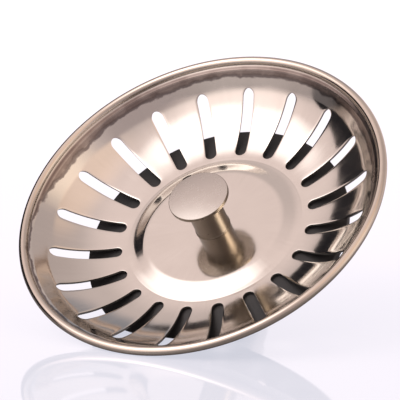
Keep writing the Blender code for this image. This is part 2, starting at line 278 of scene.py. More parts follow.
def walk_rim(path):
    groove_width = GROOVE_ROUND * (1 - math.sin(SHOULDER_SLOPE))
    round_width = SHOULDER_ROUND * (math.sin(WALL_TOP_SLOPE) - math.sin(SHOULDER_SLOPE))
    wall_end = RIM_RADIUS - 2 * BEAD_RADIUS - groove_width - SHOULDER_WIDTH - round_width
    straight(path, (wall_end - path[-1][0]) / math.cos(WALL_TOP_SLOPE), steps=10)
    bend(path, SHOULDER_ROUND, SHOULDER_SLOPE - WALL_TOP_SLOPE, steps=5)
    straight(path, SHOULDER_WIDTH / math.cos(SHOULDER_SLOPE), steps=2)
    bend(path, GROOVE_ROUND, math.pi / 2 - SHOULDER_SLOPE, steps=6)
    bend(path, BEAD_RADIUS, -math.pi, steps=16)
    bend(path, BEAD_RADIUS, -BEAD_UNDERCURL, steps=6)


sheet_path = [(STUD_HOLE, PAD_LEVEL, 0)]
walk_pad_and_wall(sheet_path)
walk_rim(sheet_path)
crease_radius = min(sheet_path, key=lambda point: point[1])[0]
print(f"sheet: {len(sheet_path)} points, lowest at a radius of {crease_radius * 1000:.1f} mm")

# %% [markdown]
# ### Places on the sheet
# The slots will be laid out on the flat sheet, so two questions have to be answered: where on the
# outline is a point at a distance along the sheet, and how far along the sheet is a radius.

# %% Measure along the sheet
sheet_run = [0.0]
for (r0, z0, _), (r1, z1, _) in zip(sheet_path, sheet_path[1:]):
    sheet_run.append(sheet_run[-1] + math.hypot(r1 - r0, z1 - z0))
print(f"sheet: {sheet_run[-1] * 1000:.1f} mm from the hole to the free edge")


def sheet_point(run):
    """Radius and height of the sheet's upper side at a distance along it."""
    after = min(max(bisect.bisect_right(sheet_run, run), 1), len(sheet_run) - 1)
    share = (run - sheet_run[after - 1]) / (sheet_run[after] - sheet_run[after - 1])
    start, end = sheet_path[after - 1], sheet_path[after]
    return start[0] + share * (end[0] - start[0]), start[1] + share * (end[1] - start[1])


def run_at_radius(radius):
    """Distance along the sheet where it first reaches a radius."""
    for after in range(1, len(sheet_path)):
        if sheet_path[after][0] >= radius:
            start, end = sheet_path[after - 1][0], sheet_path[after][0]
            share = (radius - start) / (end - start)
            return sheet_run[after - 1] + share * (sheet_run[after] - sheet_run[after - 1])


# %% [markdown]
# ## The bowl, one slot at a time
# The twenty slots are the hard part. A Boolean cut through a fine mirror surface leaves long thin faces
# beside each slot, and a mirror shows every one of them. So the mesh is laid out around the slot from
# the start: one twentieth of the sheet is drawn flat, with rings of faces that flow from the slot's
# round-ended edge to the middle of the ribs beside it. The flat piece is then wrapped onto the outline
# and repeated around the axis.
#
# In the flat piece X is the distance along the sheet and Y the angle around the axis, times a middle
# radius so that faces keep a sensible shape. The slot's edge comes first: two half circles, each made by
# spinning a point, and the straight sides between them.

# %% Draw the slot's edge
SLOT_COUNT = 20
SLOT_WIDTH = 0.0025
SLOT_INNER_TIP = 0.0203
SLOT_OUTER_TIP = 0.0345
FLAT_RADIUS = 0.027
END_STEPS = 12
SIDE_STEPS = 30


def flat_from_plan(vert):
    radius = math.hypot(vert.co.x, vert.co.y)
    vert.co = (run_at_radius(radius), math.atan2(vert.co.y, vert.co.x) * FLAT_RADIUS, 0)


def slot_loop(bm):
    half = SLOT_WIDTH / 2
    ends = []
    for centre, side in ((SLOT_OUTER_TIP - half, 1), (SLOT_INNER_TIP + half, -1)):
        first = bm.verts.new((centre, -side * half, 0))
        arc = bmesh.ops.spin(
            bm, geom=[first], cent=(centre, 0, 0), axis=(0, 0, 1), angle=math.pi, steps=END_STEPS,
        )
        last = [item for item in arc["geom_last"] if isinstance(item, bmesh.types.BMVert)][0]
        ends.append((first, last))
    sides = [bm.edges.new((ends[0][1], ends[1][0])), bm.edges.new((ends[1][1], ends[0][0]))]
    bmesh.ops.subdivide_edges(bm, edges=sides, cuts=SIDE_STEPS - 1)
    for vert in bm.verts:
        flat_from_plan(vert)


sector = bmesh.new()
slot_loop(sector)
print(f"slot: {len(sector.edges)} edges round it")

# %% [markdown]
# ### Fill the sector
# A rectangle round the slot gets as many edges as the slot has. Bridging the two loops gives spokes, and
# cutting the spokes gives the rings of faces. Beyond the rectangle the sheet is plain, so its two short
# sides are extruded inwards to the hole and outwards to the free edge, with a row at each point of the
# outline.

# %% Fill the sector round the slot
PANEL_INNER = 0.0196
PANEL_OUTER = 0.0354
RING_CUTS = 7
MERGE = 0.000001


def ring_faces(bm, inner, outer):
    half_width = math.pi / SLOT_COUNT * FLAT_RADIUS
    places = ((inner, -half_width), (outer, -half_width), (outer, half_width), (inner, half_width))
    corners = [bm.verts.new((x, y, 0)) for x, y in places]
    border = [bm.edges.new((corners[index - 1], corners[index])) for index in range(4)]
    across = [edge for edge in border if abs(edge.verts[0].co.x - edge.verts[1].co.x) < MERGE]
    along = [edge for edge in border if edge not in across]
    bmesh.ops.subdivide_edges(bm, edges=across, cuts=END_STEPS - 1)
    bmesh.ops.subdivide_edges(bm, edges=along, cuts=SIDE_STEPS - 1)
    bmesh.ops.bridge_loops(bm, edges=list(bm.edges))
    spokes = [edge for edge in bm.edges if len(edge.link_faces) == 2]
    bmesh.ops.subdivide_edges(bm, edges=spokes, cuts=RING_CUTS, use_grid_fill=True)


def extend(bm, start, stations):
    """Extrudes the side of the panel at `start` from station to station along the sheet."""
    row = [edge for edge in bm.edges if all(abs(vert.co.x - start) < MERGE for vert in edge.verts)]
    for run in stations:
        grown = bmesh.ops.extrude_edge_only(bm, edges=row)["geom"]
        row = [item for item in grown if isinstance(item, bmesh.types.BMEdge)]
        moved = [item for item in grown if isinstance(item, bmesh.types.BMVert)]
        row = [edge for edge in row if all(vert in moved for vert in edge.verts)]
        for vert in moved:
            vert.co.x = run


panel_start, panel_end = run_at_radius(PANEL_INNER), run_at_radius(PANEL_OUTER)
ring_faces(sector, panel_start, panel_end)
extend(sector, panel_start, [run for run in reversed(sheet_run) if run < panel_start - MERGE])
extend(sector, panel_end, [run for run in sheet_run if run > panel_end + MERGE])
print(f"sector: {len(sector.verts)} points, {len(sector.faces)} faces")

# %% [markdown]
# ### Wrap it and go round
# Each point moves from the flat piece to its radius, height and angle. Punching a slot pulls the metal
# down a little along the cut, so points near a slot sink by a few hundredths of a millimetre. It can't
# be seen as a shape, but the mirror shows it as a thin line along each slot. The press leaves a line of
# the same kind in the crease.
#
# Twenty turned copies are then merged along the ribs. The measured solid has eighty facets round its
# axis, and its slots lie half a facet from the X axis, so the first copy is turned by that.

# %% Wrap the sector and repeat it
EDGE_SINK = 0.00003
EDGE_SINK_WIDTH = 0.0004
PRESS_LINE = 0.00002
PRESS_LINE_WIDTH = 0.00016
SOLID_FACETS = 80
SLOT_TURN = math.tau * 0.5 / SOLID_FACETS


def distance_from_slot(x, y):
    half = SLOT_WIDTH / 2
    nearest = min(max(x, SLOT_INNER_TIP + half), SLOT_OUTER_TIP - half)
    return max(math.hypot(x - nearest, y) - half, 0)


def wrap(bm):
    for vert in bm.verts:
        angle = vert.co.y / FLAT_RADIUS
        r, z = sheet_point(vert.co.x)
        x, y = r * math.cos(angle), r * math.sin(angle)
        sink = EDGE_SINK * math.exp(-distance_from_slot(x, y) / EDGE_SINK_WIDTH)
        sink += PRESS_LINE * math.exp(-(((r - crease_radius) / PRESS_LINE_WIDTH) ** 2))
        vert.co = (x, y, z - sink)


def repeat_round(bm, count):
    everything = bm.verts[:] + bm.edges[:] + bm.faces[:]
    bmesh.ops.spin(
        bm, geom=everything, axis=(0, 0, 1), angle=math.tau * (count - 1) / count, steps=count - 1,
        use_duplicate=True,
    )
    bmesh.ops.remove_doubles(bm, verts=bm.verts, dist=MERGE)
    bmesh.ops.recalc_face_normals(bm, faces=bm.faces)


def face_up(bm):
    """Turns a sheet's faces up, so that its thickness goes below them."""
    inner_face = min(bm.faces, key=lambda face: face.calc_center_median().xy.length)
    if inner_face.normal.z < 0:
        bmesh.ops.reverse_faces(bm, faces=bm.faces)


wrap(sector)
bmesh.ops.rotate(sector, verts=sector.verts, matrix=Matrix.Rotation(SLOT_TURN, 3, "Z"))
repeat_round(sector, SLOT_COUNT)
face_up(sector)
sector.normal_update()
print(f"bowl: {len(sector.faces)} faces round the axis")

# %% [markdown]
# ### An uneven mirror
# No pressed sheet is perfectly true. This one waves by a hundredth of a millimetre, and below the rim,
# where the metal was squeezed most, by a little more. Both make the reflections wander, which the eye
# reads as real steel. Noise that is read at each point's own place gives the waves.

# %% Wave the sheet
WAVE_HEIGHT = 0.000012
WAVE_LENGTH = 0.006
WAVE_END = 0.0385
RIPPLE_HEIGHT = 0.00003
RIPPLE_ROUND = 0.0035
RIPPLE_OUT = 0.0070
RIPPLE_MIDDLE = 0.0350
RIPPLE_WIDTH = 0.0022

for vert in sector.verts:
    radius = vert.co.xy.length
    calm = min(max((WAVE_END - radius) / WAVE_LENGTH, 0), 1)
    height = WAVE_HEIGHT * noise.noise(vert.co / WAVE_LENGTH)
    if radius > FLAT_RADIUS:
        ring = vert.co.xy.to_3d() * (RIPPLE_MIDDLE / RIPPLE_ROUND / radius)
        ring.z = radius / RIPPLE_OUT
        swell = math.exp(-(((radius - RIPPLE_MIDDLE) / RIPPLE_WIDTH) ** 2))
        height += RIPPLE_HEIGHT * noise.noise(ring) * swell
    vert.co += vert.normal * calm * height
print(f"waves: {WAVE_HEIGHT * 1e6:.0f} and {RIPPLE_HEIGHT * 1e6:.0f} thousandths of a millimetre")

# %% [markdown]
# ### The groove's painted shade
# A polishing wheel goes round the inside of the bowl, but it can't reach into the groove behind the
# rolled rim, so a band there is made rougher, with stains in it. Its colour is also painted darker and
# browner: painted shade and dark reflection in the groove. A ragged dark line darkens the colour where
# the band starts. Painting that by hand would need an image, so the band is built from masks: values
# that are 1 where a colour goes and 0 elsewhere. Two helpers make them.

# %% Helpers for masks
STAIN_LOW = 0.42
STAIN_HIGH = 0.60
STAIN_DETAIL = 6


def ramp(tree, value, start, end):
    """A smooth step of a value, from 0 at `start` to 1 at `end`, whichever is larger."""
    low, high = (0, 1) if start < end else (1, 0)
    return mapped(tree, value, min(start, end), max(start, end), low, high, "SMOOTHSTEP")


def stains(tree, coordinates, size, mask):
    """Patches of about a size, kept to where the mask is 1."""
    patches = noise_pattern(tree, coordinates, size, STAIN_DETAIL)
    return calculate(tree, "MULTIPLY", ramp(tree, patches, STAIN_LOW, STAIN_HIGH), mask)


# %% [markdown]
# #### Where the band goes
# The masks read the distance from the axis, shifted a little by noise so that the line isn't a clean
# circle. On one side of the bowl the wheel reached further into the groove, so there the band and its
# painted shade taper away.

# %% Shift the distance from the axis
DULL_RAGGED = 0.0016
RAGGED_SIZE = 0.01 / 3
RAGGED_DETAIL = 5
RAGGED_ROUGHNESS = 0.55
TAPER_SIDE = (-0.966, -0.259, 0)
TAPER_START = 0.0154
TAPER_END = 0.0316
TAPER_WIDTH = 0.0014


def ragged_radius(tree, place, radius):
    """The distance from the axis, made uneven by noise and smaller on the side of the taper."""
    ragged = noise_pattern(tree, place, RAGGED_SIZE, RAGGED_DETAIL, RAGGED_ROUGHNESS)
    shifted = calculate(tree, "MULTIPLY_ADD", ragged, DULL_RAGGED, radius)
    toward = calculate(tree, "DOT_PRODUCT", place, TAPER_SIDE, vector=True)
    taper = ramp(tree, toward, TAPER_START, TAPER_END)
    return calculate(tree, "MULTIPLY_ADD", taper, -TAPER_WIDTH, shifted)


# %% [markdown]
# #### The colours of the band
# From the inside out come the ragged dark line, the band with its stains and its painted shade, its
# darker outer part on the shoulder, painted as deeper shade in the groove, and the rim. Each mask
# multiplies the steel's colour by a tint, which keeps the fine lines below it.

# %% Paint shade into the groove
DULL_START = 0.0361
DULL_END = 0.0379
DULL_LINE = 0.00028
# Where the painted deeper shade on the shoulder starts.
DEEP_SHADE_START = 0.0370
STAIN_SIZE = 0.0060
STREAK_SIZE = 0.0004
DULL_ROUGHER = 0.12

# The band's tint is painted shade and dark reflection in the groove; its roughness and stains are real.
GROOVE_SHADE_TINT = (0.66, 0.61, 0.60, 1)
# The shoulder's tint is painted deeper shade in the groove.
DEEP_SHADE_TINT = (0.70, 0.68, 0.68, 1)
STAIN_TINT = (0.74, 0.71, 0.71, 1)
# A ragged dark line that darkens the colour where the band starts.
RAGGED_LINE_TINT = (0.34, 0.31, 0.32, 1)
RIM_TINT = (0.95, 0.90, 0.85, 1)


# Paints shade and dark reflection into the groove, with the band's stains and its ragged dark line.
def paint_groove_shade(mat):
    tree = mat.node_tree
    shader = tree.nodes["Principled BSDF"]
    place = tree.nodes.new("ShaderNodeTexCoord").outputs["Object"]
    radius = distance_from_axis(tree, place)
    shifted = ragged_radius(tree, place, radius)
    start = DULL_START + DULL_RAGGED / 2

    inside = ramp(tree, shifted, start, start + DULL_LINE)
    outside = ramp(tree, radius, DULL_END, DULL_END - 2 * DULL_LINE)
    band = calculate(tree, "MULTIPLY", inside, outside)
    before = ramp(tree, shifted, start - DULL_LINE, start)
    after = ramp(tree, shifted, start + 2 * DULL_LINE, start)
    line = calculate(tree, "MULTIPLY", before, after)
    beyond = ramp(tree, radius, DEEP_SHADE_START, DEEP_SHADE_START + DULL_LINE)
    shoulder = calculate(tree, "MULTIPLY", beyond, band)
    blotches = stains(tree, place, STAIN_SIZE, band)
    rings = stains(tree, line_coordinates(tree, place, "round"), STREAK_SIZE, band)
    rim = ramp(tree, radius, DULL_END - DULL_LINE, DULL_END + DULL_LINE)

    colour = shader.inputs["Base Color"].links[0].from_socket
    for mask, tone in (
        (band, GROOVE_SHADE_TINT),
        (shoulder, DEEP_SHADE_TINT),
        (blotches, STAIN_TINT),
        (rings, STAIN_TINT),
        (line, RAGGED_LINE_TINT),
        (rim, RIM_TINT),
    ):
        colour = mixed(tree, mask, colour, tone, "RGBA", "MULTIPLY")
    tree.links.new(colour, shader.inputs["Base Color"])
    smooth = shader.inputs["Roughness"].links[0].from_socket
    rough = calculate(tree, "MULTIPLY_ADD", band, DULL_ROUGHER, smooth)
    tree.links.new(rough, shader.inputs["Roughness"])


paint_groove_shade(polished_steel)
print("groove: dull from", DULL_START, "to", DULL_END)

# %% [markdown]
# ### Thickness and cut edges
# The surface made so far is the sheet's upper side, so it gets its thickness downwards. A press and a
# punch leave square edges only where they cut: round the slots, the hole and the free edge. They are the
# only sharp edges of the mesh, so the angle between faces finds them, and a small bevel rounds them.

# %% Make the bowl
CUT_ANGLE = math.radians(60)
EDGE_ROUND = 0.00006


def thicken(bm, thickness, edge_round):
    """Gives a sheet its thickness below its faces and rounds its cut edges."""
    bmesh.ops.solidify(bm, geom=bm.faces[:], thickness=thickness)
    bm.normal_update()
    cut_edges = [edge for edge in bm.edges if edge.calc_face_angle(0) > CUT_ANGLE]
    bmesh.ops.bevel(
        bm, geom=cut_edges, offset=edge_round, segments=2, profile=0.5, affect="EDGES", material=-1,
        clamp_overlap=True,
    )


def to_object(bm, name, mat, sharp=40):
    """Shades the mesh smooth except at real edges and makes it an object."""
    mesh = bpy.data.meshes.new(name)
    bm.to_mesh(mesh)
    bm.free()
    mesh.shade_smooth()
    mesh.set_sharp_from_angle(angle=math.radians(sharp))
    mesh.materials.append(mat)
    obj = bpy.data.objects.new(name, mesh)
    bpy.context.scene.collection.objects.link(obj)
    print(f"{name}: {sum(len(face.vertices) - 2 for face in mesh.polygons)} triangles")
    return obj


thicken(sector, SHEET, EDGE_ROUND)
bowl = to_object(sector, "slotted_bowl", polished_steel)
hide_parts("basket")
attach(bowl, "plug")

# %% [markdown]
# ## Round pieces
# The knob, the seal, the washers and the post are all round about Z, so each is an outline spun once
# around. The corners of an outline are rounded first, with a bevel on its points: a lathe leaves no
# perfectly sharp corner, and a rounded one catches a thin line of light.

# %% Spin an outline
FINE_STEPS = 160


def spun(outline, steps, rounds=0.0, segments=3, closed=False, turn=math.tau):
    """A mesh spun about Z from (radius, height) points, with its corners off the axis rounded."""
    bm = bmesh.new()
    verts = [bm.verts.new((r, 0, z)) for r, z in outline]
    for start, end in zip(verts, verts[1:]):
        bm.edges.new((start, end))
    if closed:
        bm.edges.new((verts[-1], verts[0]))
    if rounds:
        corners = [vert for vert in verts if len(vert.link_edges) == 2]
        bmesh.ops.bevel(
            bm, geom=corners, offset=rounds, segments=segments, profile=0.5, affect="VERTICES",
            material=-1, clamp_overlap=True,
        )
    bmesh.ops.spin(
        bm, geom=bm.verts[:] + bm.edges[:], axis=(0, 0, 1), angle=turn, steps=steps,
        use_merge=turn == math.tau,
    )
    bmesh.ops.remove_doubles(bm, verts=bm.verts, dist=MERGE / 2)
    bmesh.ops.recalc_face_normals(bm, faces=bm.faces)
    return bm


# %% [markdown]
# ### Two finishes for the knob
# The top of the knob is not polished like the bowl. Facing it on a lathe leaves fine circles, so its
# finish has a pattern of rings about the axis. The edge and the neck are turned too, and lines that run
# round a neck spread every highlight along it, into upright bands. So they get a second finish with
# stretched highlights, whose colour is painted much darker: painted dark reflection on the neck and the
# edge. It makes the head's edge a thin dark line.

# %% Make the knob's finishes
TURNED_STRETCH = 0.9
QUARTER_TURN = 0.25

satin_steel = finish(
    "satin_steel", colour=(0.56, 0.52, 0.48), metallic=1, roughness=0.26, smear=0.03, smear_size=0.0018,
    grain=0.10, grain_size=0.0003, depth=0.0000008, lines="round",
)
# Its dark colour is painted dark reflection on the neck and the head's edge.
shaded_turned_steel = finish(
    "shaded_turned_steel", colour=(0.19, 0.16, 0.13), metallic=1, roughness=0.30, smear=0.04, smear_size=0.003,
    grain=0.12, grain_size=0.0004, depth=0.0000003, lines="round",
)


def stretch_highlights(mat):
    """Stretches each highlight along the axis, across the lines that run round it."""
    tree = mat.node_tree
    shader = tree.nodes["Principled BSDF"]
    shader.inputs["Anisotropic"].default_value = TURNED_STRETCH
    shader.inputs["Anisotropic Rotation"].default_value = QUARTER_TURN
    round_axis = tree.nodes.new("ShaderNodeTangent")
    round_axis.direction_type = "RADIAL"
    round_axis.axis = "Z"
    tree.links.new(round_axis.outputs["Tangent"], shader.inputs["Tangent"])


stretch_highlights(shaded_turned_steel)
print("finishes:", satin_steel.name, shaded_turned_steel.name)

# %% [markdown]
# ### The knob
# A turned mushroom: a thin flat head, a straight neck and a small lipped foot on the pad, with a stud
# below it. The outline starts on the axis at the top and ends on the axis below the stud. After
# spinning, the flat faces of the head keep the satin finish, and all others get the darker one, with
# its painted dark reflection.

# %% Spin the knob
KNOB_RADIUS = 0.0064
KNOB_THICKNESS = 0.0008
KNOB_HEIGHT = 0.0097
KNOB_TOP = PAD_LEVEL + KNOB_HEIGHT
KNOB_ROUND = 0.00018
NECK_RADIUS = 0.00365
NECK_FILLET = 0.0004
FOOT_RADIUS = 0.0038
FOOT_HEIGHT = 0.0004
STUD_RADIUS = 0.0020
STUD_END = 0.0105
FLAT_ENOUGH = 0.98

under = KNOB_TOP - KNOB_THICKNESS
knob_outline = [
    (0, KNOB_TOP),
    (KNOB_RADIUS, KNOB_TOP),
    (KNOB_RADIUS, under),
    (NECK_RADIUS + NECK_FILLET, under),
    (NECK_RADIUS, under - NECK_FILLET),
    (NECK_RADIUS, PAD_LEVEL + FOOT_HEIGHT),
    (FOOT_RADIUS, PAD_LEVEL + FOOT_HEIGHT / 2),
    (FOOT_RADIUS, PAD_LEVEL),
    (STUD_RADIUS, PAD_LEVEL),
    (STUD_RADIUS, STUD_END),
    (0, STUD_END),
]
knob = to_object(spun(knob_outline, FINE_STEPS, rounds=KNOB_ROUND), "pull_knob", satin_steel)
knob.data.materials.append(shaded_turned_steel)
# Faces off the head's flats get the finish with the painted dark reflection.
for face in knob.data.polygons:
    on_head = face.center.z > under - MERGE
    flat = abs(face.normal.z) > FLAT_ENOUGH
    if not (on_head and flat):
        face.material_index = 1
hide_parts("knob")
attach(knob, "plug")

# %% [markdown]
# ### The rubber seal
# A moulded disc. A hub fills the hollow under the pad, the edge droops and ends in a rounded lip, and a
# recess below takes the washer. Rubber isn't a metal and hardly shines, so its finish is rough, with a
# plain grain.

# %% Make the seal
CLAMP_GAP = 0.0003
SEAL_BASE = 0.0192
SEAL_THICKNESS = 0.0020
SEAL_RADIUS = 0.0285
SEAL_DROOP = 0.0006
SEAL_LIP = 0.0003
SEAL_HUB_RADIUS = 0.0128
SEAL_HUB_TOP = PAD_LEVEL - SHEET - CLAMP_GAP
SEAL_RECESS = 0.0126
SEAL_RECESS_DEPTH = 0.0004

black_rubber = finish(
    "black_rubber", colour=(0.022, 0.020, 0.021), metallic=0, roughness=0.5, smear=0.08, smear_size=0.006,
    grain=0.3, grain_size=0.0003, depth=0.000004,
)

flange_top = SEAL_BASE + SEAL_THICKNESS
seat = SEAL_BASE - SEAL_RECESS_DEPTH
seal_outline = [
    (STUD_HOLE, SEAL_HUB_TOP),
    (SEAL_HUB_RADIUS, SEAL_HUB_TOP),
    (SEAL_HUB_RADIUS + SEAL_HUB_TOP - flange_top, flange_top),
    (SLOT_INNER_TIP, flange_top),
    (SEAL_RADIUS, flange_top - SEAL_DROOP - SEAL_LIP / 3),
    (SEAL_RADIUS, seat),
    (SEAL_RECESS + SEAL_RECESS_DEPTH, seat),
    (SEAL_RECESS, SEAL_BASE),
    (STUD_HOLE, SEAL_BASE),
]
seal_mesh = spun(seal_outline, FINE_STEPS, rounds=SEAL_LIP, segments=4, closed=True)
seal = to_object(seal_mesh, "black_seal", black_rubber)
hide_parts("rubber_seal")
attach(seal, "plug")

# %% [markdown]
# ### The wide washer
# It is pressed from sheet and slightly dished, so its outline is walked like the bowl's, spun into a
# thin surface and given its thickness.

# %% Make the wide washer
SEAL_WASHER_BASE = 0.0181
SEAL_WASHER_RADIUS = 0.0120
SEAL_WASHER_THICKNESS = 0.0008
SEAL_WASHER_FLAT = 0.0075
SEAL_WASHER_ROUND = 0.0060
SEAL_WASHER_SLOPE = math.radians(14)
WASHER_EDGE = 0.0001

turned_steel = finish(
    "turned_steel", colour=(0.58, 0.55, 0.52), metallic=1, roughness=0.24, smear=0.06, smear_size=0.003,
    grain=0.15, grain_size=0.00015, depth=0.0000015, lines="round",
)

washer_path = [(STUD_HOLE, SEAL_WASHER_BASE + SEAL_WASHER_THICKNESS, 0)]
straight(washer_path, SEAL_WASHER_FLAT - STUD_HOLE)
bend(washer_path, SEAL_WASHER_ROUND, -SEAL_WASHER_SLOPE, steps=6)
straight(washer_path, (SEAL_WASHER_RADIUS - washer_path[-1][0]) / math.cos(SEAL_WASHER_SLOPE))
bm = spun([(r, z) for r, z, heading in washer_path], FINE_STEPS)
face_up(bm)
thicken(bm, SEAL_WASHER_THICKNESS, WASHER_EDGE)
seal_washer = to_object(bm, "wide_washer", turned_steel)
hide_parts("seal_washer")
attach(seal_washer, "plug")

# %% [markdown]
# ### The lock washer
# A ring of square wire with a leaning split. It is spun almost all the way round, its two ends are
# closed, and then each point is turned about the axis in step with its height, which makes the split
# lean.

# %% Make the lock washer
LOCK_WASHER_BASE = 0.0168
LOCK_WASHER_RADIUS = 0.0042
LOCK_WASHER_THICKNESS = 0.0010
LOCK_WASHER_SPLIT = 0.0008
LOCK_WASHER_LEAN = math.radians(35)
LOCK_WASHER_STEPS = 80

wire_outline = [
    (STUD_HOLE, LOCK_WASHER_BASE + LOCK_WASHER_THICKNESS),
    (LOCK_WASHER_RADIUS, LOCK_WASHER_BASE + LOCK_WASHER_THICKNESS),
    (LOCK_WASHER_RADIUS, LOCK_WASHER_BASE),
    (STUD_HOLE, LOCK_WASHER_BASE),
]
wire_middle = (STUD_HOLE + LOCK_WASHER_RADIUS) / 2
split_angle = LOCK_WASHER_SPLIT / wire_middle
bm = spun(
    wire_outline, LOCK_WASHER_STEPS, rounds=WASHER_EDGE, segments=2, closed=True,
    turn=math.tau - split_angle,
)
bmesh.ops.holes_fill(bm, edges=[edge for edge in bm.edges if edge.is_boundary], sides=0)
bmesh.ops.recalc_face_normals(bm, faces=bm.faces)
for vert in bm.verts:
    lean = (vert.co.z - LOCK_WASHER_BASE - LOCK_WASHER_THICKNESS / 2) * math.tan(LOCK_WASHER_LEAN)
    vert.co.rotate(Matrix.Rotation(split_angle / 2 + lean / wire_middle, 3, "Z"))
lock_washer = to_object(bm, "split_washer", turned_steel)
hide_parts("lock_washer")
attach(lock_washer, "plug")

# %% [markdown]
# ### The post
# A turned post with a collar and a rounded nose, and a hole from above for the knob's stud. Two flats on
# the collar take a spanner: a plane cuts each one off and the hole that it leaves is filled.

# %% Turn the post
POST_LENGTH = 0.0165
POST_RADIUS = 0.0055
POST_STEPS = 96
POST_SHARP = 30
COLLAR_RADIUS = 0.0070
COLLAR_HEIGHT = 0.0024
COLLAR_ACROSS_FLATS = 0.0120
COLLAR_EDGE = 0.0003
NOSE_RADIUS = 0.0038
NOSE_HEIGHT = 0.0024
NOSE_STEPS = 12
HOLE_BOTTOM = 0.0095

nose = []
for step in range(1, NOSE_STEPS + 1):
    angle = math.pi / 2 * step / NOSE_STEPS
    nose_width = (POST_RADIUS - NOSE_RADIUS) * math.cos(angle)
    nose.append((NOSE_RADIUS + nose_width, NOSE_HEIGHT * (1 - math.sin(angle))))
collar_base = POST_LENGTH - COLLAR_HEIGHT
post_outline = [
    (0, HOLE_BOTTOM),
    (STUD_HOLE, HOLE_BOTTOM),
    (STUD_HOLE, POST_LENGTH),
    (COLLAR_RADIUS - COLLAR_EDGE, POST_LENGTH),
    (COLLAR_RADIUS, POST_LENGTH - COLLAR_EDGE),
    (COLLAR_RADIUS, collar_base + COLLAR_EDGE),
    (COLLAR_RADIUS - COLLAR_EDGE, collar_base),
    (POST_RADIUS, collar_base),
    (POST_RADIUS, NOSE_HEIGHT),
    *nose,
    (0, 0),
]
bm = spun(post_outline, POST_STEPS)
for side in (-1, 1):
    cut = bmesh.ops.bisect_plane(
        bm, geom=bm.verts[:] + bm.edges[:] + bm.faces[:], plane_co=(0, side * COLLAR_ACROSS_FLATS / 2, 0),
        plane_no=(0, side, 0), clear_outer=True,
    )
    rim = [item for item in cut["geom_cut"] if isinstance(item, bmesh.types.BMEdge)]
    bmesh.ops.holes_fill(bm, edges=rim, sides=0)
bmesh.ops.recalc_face_normals(bm, faces=bm.faces)
post = to_object(bm, "centre_post", turned_steel, POST_SHARP)

# %% [markdown]
# ### The cross bore
# The bore for the balls goes right through the post, and its mouths are a little narrower than a ball,
# which keeps the balls in. This cut is a Boolean, because two crossing cylinders have no simpler
# construction.

# %% Drill the cross bore
BALL_RADIUS = 0.0020
BALL_HEIGHT = 0.0060
BALL_PLACE = 0.0042
BALL_CLEARANCE = 0.0001
MOUTH_RADIUS = 0.0019
BORE_OVERRUN = 0.002
BORE_STEPS = 64

seat_end = BALL_PLACE + math.sqrt(BALL_RADIUS**2 - MOUTH_RADIUS**2) + BALL_CLEARANCE
reach = POST_RADIUS + BORE_OVERRUN
bore_outline = [
    (0, reach),
    (MOUTH_RADIUS, reach),
    (MOUTH_RADIUS, seat_end),
    (BALL_RADIUS + BALL_CLEARANCE, seat_end),
    (BALL_RADIUS + BALL_CLEARANCE, -seat_end),
    (MOUTH_RADIUS, -seat_end),
    (MOUTH_RADIUS, -reach),
    (0, -reach),
]
bm = spun(bore_outline, BORE_STEPS)
bmesh.ops.rotate(bm, verts=bm.verts, matrix=Matrix.Rotation(math.pi / 2, 3, "Y"))
bmesh.ops.translate(bm, verts=bm.verts, vec=(0, 0, BALL_HEIGHT))
bore = to_object(bm, "cross_bore", turned_steel)
cut = post.modifiers.new("Cross bore", "BOOLEAN")
cut.operation = "DIFFERENCE"
cut.solver = "EXACT"
cut.object = bore
graph = bpy.context.evaluated_depsgraph_get()
bored = bpy.data.meshes.new_from_object(post.evaluated_get(graph))
post.modifiers.clear()
post.data = bored
bpy.data.objects.remove(bore)
post.data.set_sharp_from_angle(angle=math.radians(POST_SHARP))
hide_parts("post")
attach(post, "plug")
print(f"bore: the balls rest {(seat_end - BALL_PLACE) * 1000:.2f} mm inside its narrow mouths")

# %% [markdown]
# ### The balls
# Two steel balls look out of the post, and each rides on a body of its own, so that it can be pressed
# in. A fine sphere replaces each faceted one, with the smoothest finish of all.

# %% Make the balls
ball_steel = finish(
    "ball_steel", colour=(0.70, 0.69, 0.68), metallic=1, roughness=0.06, smear=0.02, smear_size=0.002,
    grain=0.03, grain_size=0.0002, depth=0.0000005,
)

for name, side, body in (("left", -1, "ball_left"), ("right", 1, "ball_right")):
    bm = bmesh.new()
    bmesh.ops.create_icosphere(bm, subdivisions=5, radius=BALL_RADIUS)
    bmesh.ops.translate(bm, verts=bm.verts, vec=(side * BALL_PLACE, 0, BALL_HEIGHT))
    ball = to_object(bm, f"ball_{name}_fine", ball_steel)
    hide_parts(f"detent_ball_{name}")
    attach(ball, body)

# %% [markdown]
# ### The spring
# The coil spring between the balls is hidden in the bore, and it has to shorten when a ball goes in, or
# the ball would cut through it. Here it is wound in two halves, each a piece of its own. Spinning a
# circle about X with a step along X gives the coil. The right half starts where the left one ends.

# %% Wind the spring in two halves
SPRING_WIRE = 0.0004
SPRING_RADIUS = 0.0013
SPRING_TURNS = 5
WIRE_SIDES = 12
WIRE_STEPS = 80

wire_reach = BALL_RADIUS + SPRING_WIRE / 2 + BALL_CLEARANCE
spring_end = BALL_PLACE - math.sqrt(wire_reach**2 - SPRING_RADIUS**2)
half_turn = math.pi * SPRING_TURNS

